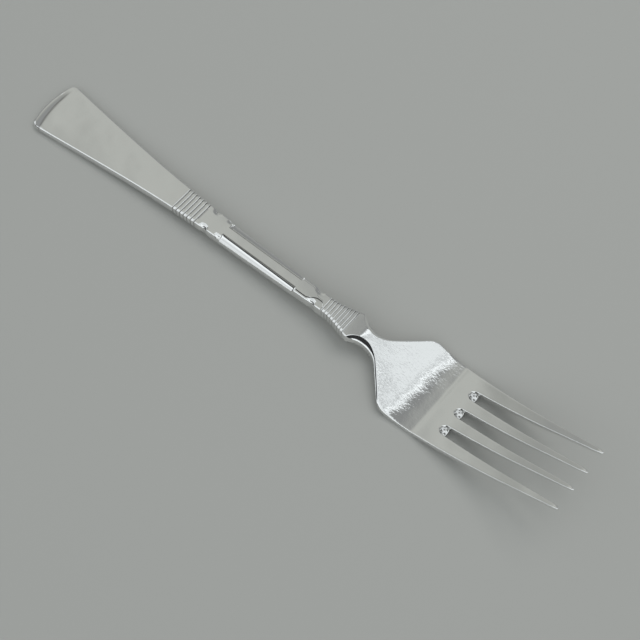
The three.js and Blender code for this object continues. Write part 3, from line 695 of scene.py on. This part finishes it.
def root_surface(p, s, slot):
    """The root of a slot: the softened edge swept round a half circle and drawn out into a ramp between the tines,
    with the tool's marks as the product of two waves, round the root and down it."""
    turn = np.linspace(0, math.pi, SLOT_COLUMNS + 2)
    outer = p.slot_width / 2 + p.tine_edge
    centre = (slot - 1) * p.slot_spacing
    top_x, y = s.slot_centre - outer * np.sin(turn), centre - outer * np.cos(turn)
    under_x = s.slot_centre + p.slot_ramp * np.sin(turn)
    top = top_surface(p, s, top_x, y, half_width(p, s, top_x))
    under = under_surface(p, s, under_x, y, half_width(p, s, under_x))
    radius = np.full_like(turn, p.tine_edge)
    inward, z = edge_strip(np.full_like(turn, -p.slot_width / 2), top, radius, under, radius)
    border = np.full((len(turn), 1), -outer)
    inward = np.hstack([border, inward, border])
    z = np.hstack([top[:, None], z, under[:, None]])
    down = (top[:, None] - z) / (top - under)[:, None]
    marks = np.sin(2 * MARKS_ROUND * turn)[:, None] * np.sin(2 * math.pi * MARKS_DOWN * down)
    reach = top_x[:, None] + (under_x - top_x)[:, None] * down ** RAMP_POWER + p.chatter * marks
    grid = np.stack([reach, centre + inward * np.cos(turn)[:, None], z], axis=-1)
    # Painted dark reflections on one half of each wave of the tool's marks.
    return grid, np.clip(-MARK_PAINTED_REFLECTION * marks, 0, MOST_PAINTED_REFLECTION)


def grid_faces(rows, columns, closed):
    """Corner numbers of the four-sided faces of a grid, row by row, joined round where it is closed."""
    wide = columns if closed else columns - 1
    row = np.arange(rows - 1)[:, None] * columns
    i = np.arange(wide)[None]
    j = (i + 1) % columns
    return np.stack([row + i, row + j, row + columns + j, row + columns + i], axis=-1).reshape(-1, 4)


def mesh_from_grids(name, grids):
    """One closed mesh from grids that meet at their borders: their points are joined where they coincide, and
    every edge then has to lie between two faces."""
    points, faces, start = [], [], 0
    for grid, _, closed in grids:
        points.append(grid.reshape(-1, 3))
        faces.append(grid_faces(grid.shape[0], grid.shape[1], closed) + start)
        start += points[-1].shape[0]
    points, faces = np.concatenate(points), np.concatenate(faces)
    mesh = bpy.data.meshes.new(name)
    mesh.vertices.add(len(points))
    mesh.vertices.foreach_set("co", points.astype(np.float32).ravel())
    mesh.loops.add(faces.size)
    mesh.loops.foreach_set("vertex_index", faces.astype(np.int32).ravel())
    mesh.polygons.add(len(faces))
    mesh.polygons.foreach_set("loop_start", np.arange(0, faces.size, 4, dtype=np.int32))
    mesh.update(calc_edges=True)
    # Share of dark colour at each point: patina in the rib grooves and painted dark reflections at the ridge's foot,
    # the end's crease and the tool's marks.
    dark = np.concatenate([residue_and_reflection.ravel() for _, residue_and_reflection, _ in grids]).astype(np.float32)
    mesh.attributes.new("groove", "FLOAT", "POINT").data.foreach_set("value", dark)
    work = bmesh.new()
    work.from_mesh(mesh)
    bmesh.ops.remove_doubles(work, verts=work.verts, dist=SAME_POINT)
    bmesh.ops.dissolve_degenerate(work, edges=work.edges, dist=NO_LENGTH)
    bmesh.ops.recalc_face_normals(work, faces=work.faces)
    work.to_mesh(mesh)
    work.free()
    used = np.empty(len(mesh.loops), dtype=np.int32)
    mesh.loops.foreach_get("edge_index", used)
    open_edges = np.count_nonzero(np.bincount(used, minlength=len(mesh.edges)) != 2)
    if open_edges:
        raise RuntimeError(f"{name} has {open_edges} open edges")
    mesh.shade_smooth()
    mesh.set_sharp_from_angle(angle=SHARP_ANGLE)
    return mesh


def fill(socket, value):
    """Links an input to another node's output, or sets it to a value."""
    if isinstance(value, bpy.types.NodeSocket):
        socket.id_data.links.new(value, socket)
    else:
        socket.default_value = value


def node(tree, kind, **values):
    """A new shader node with its inputs and settings filled in."""
    made = tree.nodes.new(kind)
    for name, value in values.items():
        if name in made.inputs:
            fill(made.inputs[name], value)
        else:
            setattr(made, name, value)
    return made


def fade(tree, value, start, stop, least=0.0, kind="SMOOTHSTEP"):
    """A rise from the least level to one between two values, in a smooth S or a straight line."""
    limits = {"From Min": start, "From Max": stop, "To Min": least}
    return node(tree, "ShaderNodeMapRange", interpolation_type=kind, Value=value, **limits).outputs["Result"]


def scratches(tree, place, turn, fineness, drawn):
    """Hairline scratches: noise drawn out along one direction, with only its peaks kept."""
    scale = (fineness / drawn, fineness, fineness / drawn)
    turned = node(tree, "ShaderNodeMapping", Vector=place, Rotation=(0, 0, turn), Scale=scale).outputs["Vector"]
    noise = node(tree, "ShaderNodeTexNoise", Vector=turned, Scale=1.0, Detail=2.0, Roughness=0.5)
    lowest_kept, full = 0.5, 0.7
    return fade(tree, noise.outputs["Fac"], lowest_kept, full, kind="LINEAR")


def calculate(tree, operation, *values):
    """One step of arithmetic on sockets or numbers."""
    step = node(tree, "ShaderNodeMath", operation=operation)
    for number, value in enumerate(values):
        fill(step.inputs[number], value)
    return step.outputs["Value"]


def blend_colours(tree, factor, first, second):
    """Two colours, each a socket or a plain colour, mixed by a factor."""
    mixed = node(tree, "ShaderNodeMix", data_type="RGBA")
    fill(mixed.inputs[0], factor)
    for number, value in ((6, first), (7, second)):
        fill(mixed.inputs[number], value if isinstance(value, bpy.types.NodeSocket) else (*value, 1))
    return mixed.outputs[2]


def polished_silver(finish):
    """Silver that is bright where clean, softly dulled in cloudy patches, finely scratched, and dark with patina in
    its rib grooves and with painted dark reflections along the ridge's foot, in the end's crease and on the tool's
    marks.

    The scratches are deepest in the bowl, and slow waves left by the hammer and the polishing wheel bend the
    reflections along the handle."""
    material = bpy.data.materials.new("polished_silver")
    material.use_nodes = True
    tree = material.node_tree
    place = node(tree, "ShaderNodeTexCoord").outputs["Object"]
    cloud = node(tree, "ShaderNodeTexNoise", Vector=place, Scale=90.0, Detail=4.0, Roughness=0.6).outputs["Fac"]
    groove = node(tree, "ShaderNodeAttribute", attribute_name="groove").outputs["Fac"]
    metal = blend_colours(tree, cloud, finish.bright, finish.worn)
    polish, cloud_dulls, groove_dulls = 0.05, 0.06, 0.25
    rough = calculate(tree, "MULTIPLY_ADD", cloud, cloud_dulls, polish)
    fine = scratches(tree, place, 0.5, 1700.0, 1.8)
    for turn, fineness, drawn in [(-0.8, 1500.0, 1.5), (1.35, 1300.0, 1.6), (2.2, 2000.0, 2.2)]:
        fine = calculate(tree, "ADD", fine, scratches(tree, place, turn, fineness, drawn))
    along = node(tree, "ShaderNodeSeparateXYZ", Vector=place).outputs["X"]
    outside_bowl = 0.25
    for start, stop in ((0.022, 0.034), (0.056, 0.047)):
        fine = calculate(tree, "MULTIPLY", fine, fade(tree, along, start, stop, outside_bowl))
    waves = node(tree, "ShaderNodeTexNoise", Vector=place, Scale=130.0, Detail=1.0, Roughness=0.4).outputs["Fac"]
    wave_height, scratch_depth, unit_height = 16.0, 0.45, 0.00001
    height = calculate(tree, "MULTIPLY_ADD", waves, wave_height, calculate(tree, "MULTIPLY", fine, scratch_depth))
    relief = node(tree, "ShaderNodeBump", Strength=1.0, Distance=unit_height, Height=height)
    shader = tree.nodes["Principled BSDF"].inputs
    fill(shader["Metallic"], 1.0)
    # Base colour: patina in the rib grooves, and painted dark reflections at the ridge's foot, the end's crease and
    # the tool's marks.
    fill(shader["Base Color"], blend_colours(tree, groove, metal, finish.tarnish_and_painted_reflection))
    fill(shader["Roughness"], calculate(tree, "MULTIPLY_ADD", groove, groove_dulls, rough))
    fill(shader["Normal"], relief.outputs["Normal"])
    return material


class FORK_OT_silver(bpy.types.Operator):
    """Builds the fork as one closed surface of polished silver"""

    bl_idname = "fork.silver"
    bl_label = "Fork"

    def execute(self, context):
        p = context.scene.fork_sizes
        s = stations(p)
        grids = [(*blank_surface(p, s), True)]
        grids += [(*tine_surface(p, s, tine), True) for tine in range(TINES)]
        grids += [(*root_surface(p, s, slot), False) for slot in range(TINES - 1)]
        middle = np.array([p.length / 2, 0, 0])
        mesh = mesh_from_grids("silver_fork", [(grid - middle, dark, closed) for grid, dark, closed in grids])
        fork = bpy.data.objects.new("silver_fork", mesh)
        context.scene.collection.objects.link(fork)
        mesh.materials.append(polished_silver(context.scene.fork_finish))
        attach(fork, "root")
        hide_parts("fork")
        return {"FINISHED"}


def area_lamp(scene, name, place, target, width, height, radiance):
    """A rectangular soft lamp of the given brightness that faces a target, hidden from the metal's reflections."""
    lamp = bpy.data.lights.new(name, "AREA")
    lamp.shape = "RECTANGLE"
    lamp.size, lamp.size_y = width, height
    lamp.energy = radiance * math.pi * width * height
    holder = bpy.data.objects.new(name, lamp)
    scene.collection.objects.link(holder)
    holder.location = place
    holder.rotation_euler = (Vector(target) - Vector(place)).to_track_quat("-Z", "Y").to_euler()
    holder.visible_glossy = False


def slant_ramp(tree, place, across, low, high, stops):
    """Colours laid out along a slanting direction overhead, each given by a place, a level and a tint.

    Returns the way along it, from nothing at low to one at high, and the colour there."""
    slant = node(tree, "ShaderNodeVectorMath", operation="DOT_PRODUCT")
    fill(slant.inputs[0], place)
    fill(slant.inputs[1], (1, across, 0))
    pivot = across * SLANT_PIVOT
    way = fade(tree, slant.outputs["Value"], low + pivot, high + pivot, kind="LINEAR")
    ramp = node(tree, "ShaderNodeValToRGB", Fac=way)
    elements = ramp.color_ramp.elements
    for number, (at, level, tint) in enumerate(stops):
        stop = elements[number] if number < 2 else elements.new(1.0)
        stop.position = (at - low) / (high - low)
        stop.color = (level * tint[0], level * tint[1], level * tint[2], 1)
    return way, ramp.outputs["Color"]


def studio_world(scene):
    """A soft grey studio with a white panel to one side of a slanting line overhead, and a dark front close above
    the table."""
    world = bpy.data.worlds.new("studio")
    scene.world = world
    world.use_nodes = True
    tree = world.node_tree
    background = tree.nodes["Background"].inputs
    place = node(tree, "ShaderNodeTexCoord").outputs["Generated"]
    grey, cool, white = (0.98, 1.01, 0.96), (0.965, 1.0, 1.0), (0.95, 1.0, 1.02)
    _, wall = slant_ramp(tree, place, 0.67, -1, 0, [
        (-0.9, 0.28, cool), (-0.72, 0.34, grey), (-0.54, 0.48, grey), (-0.46, 0.46, grey), (-0.14, 0.26, cool)])
    low, high = -1, 3
    way, panel = slant_ramp(tree, place, -2.6, low, high, [
        (0.1, 1.15, white), (0.22, 0.48, white), (0.36, 0.88, white), (1.4, 0.7, white), (2.4, 1.1, white)])
    panel_starts, panel_full = ((at - low) / (high - low) for at in (-0.12, 0.06))
    fill(background["Color"], blend_colours(tree, fade(tree, way, panel_starts, panel_full), wall, panel))
    axes = node(tree, "ShaderNodeSeparateXYZ", Vector=place).outputs
    front_level = 0.03
    above_front, behind_front = fade(tree, axes["Z"], 0.31, 0.44, front_level), fade(tree, axes["Y"], -0.1, 0.15)
    fill(background["Strength"], calculate(tree, "MAXIMUM", above_front, behind_front))


def table_top(scene, look):
    """A wide plain table top under the fork."""
    mesh = bpy.data.meshes.new("table_top")
    corners = np.array([(-1, -1, 0), (1, -1, 0), (1, 1, 0), (-1, 1, 0)]) * TABLE_HALF
    mesh.from_pydata(corners.tolist(), [], [(0, 1, 2, 3)])
    material = bpy.data.materials.new("table_top")
    material.use_nodes = True
    shader = material.node_tree.nodes["Principled BSDF"].inputs
    fill(shader["Base Color"], (*look.table, 1))
    fill(shader["Roughness"], 0.7)
    fill(shader["Specular IOR Level"], 0.2)
    mesh.materials.append(material)
    table = bpy.data.objects.new("table_top", mesh)
    scene.collection.objects.link(table)


def picture_camera(scene, look):
    """The camera, placed by heading, elevation, distance and roll around a point on the table."""
    heading, rise, roll = look.camera_heading, look.camera_elevation, look.camera_roll
    forward = Vector((math.cos(rise) * math.cos(heading), math.cos(rise) * math.sin(heading), -math.sin(rise)))
    right = Vector((math.sin(heading), -math.cos(heading), 0))
    up = right.cross(forward)
    turned = math.cos(roll) * right + math.sin(roll) * up
    upright = turned.cross(forward)
    camera = bpy.data.cameras.new("camera")
    camera.sensor_width, camera.lens, camera.clip_start = CAMERA_SENSOR, CAMERA_LENS, CAMERA_CLIP
    holder = bpy.data.objects.new("camera", camera)
    scene.collection.objects.link(holder)
    turn = Matrix((turned, upright, -forward)).transposed()
    holder.matrix_world = Matrix.Translation(CAMERA_TARGET - look.camera_distance * forward) @ turn.to_4x4()
    scene.camera = holder


class FORK_OT_stage(bpy.types.Operator):
    """Builds the table top, the studio, the lamp and the camera"""

    bl_idname = "fork.stage"
    bl_label = "Stage"

    def execute(self, context):
        scene = context.scene
        look = scene.fork_stage
        scene.view_settings.view_transform = "Standard"
        table_top(scene, look)
        studio_world(scene)
        area_lamp(
            scene, "overhead_panel", place=(0.1, 0.36, 0.88), target=(0, 0, 0), width=0.6, height=0.6, radiance=2.0)
        picture_camera(scene, look)
        return {"FINISHED"}


class FORK_PT_sidebar(bpy.types.Panel):
    """Lists the fork's builders and settings"""

    bl_idname = "FORK_PT_sidebar"
    bl_label = "Table fork"
    bl_space_type = "VIEW_3D"
    bl_region_type = "UI"
    bl_category = "Fork"

    def draw(self, context):
        self.layout.operator(FORK_OT_silver.bl_idname)
        self.layout.operator(FORK_OT_stage.bl_idname)
        for group, kind in GROUPS.items():
            box = self.layout.box()
            for name in kind.__annotations__:
                box.prop(getattr(context.scene, group), name)


CLASSES = (*GROUPS.values(), FORK_OT_silver, FORK_OT_stage, FORK_PT_sidebar)


def register():
    """Adds the classes and hangs their settings on the scene."""
    for made in CLASSES:
        bpy.utils.register_class(made)
    for group, kind in GROUPS.items():
        setattr(bpy.types.Scene, group, bpy.props.PointerProperty(type=kind))


def unregister():
    """Takes the settings and the classes away again."""
    for group in GROUPS:
        delattr(bpy.types.Scene, group)
    for made in reversed(CLASSES):
        bpy.utils.unregister_class(made)


def main():
    """Builds the fork and its stage."""
    register()
    bpy.ops.fork.silver()
    bpy.ops.fork.stage()


if __name__ == "__main__":
    main()
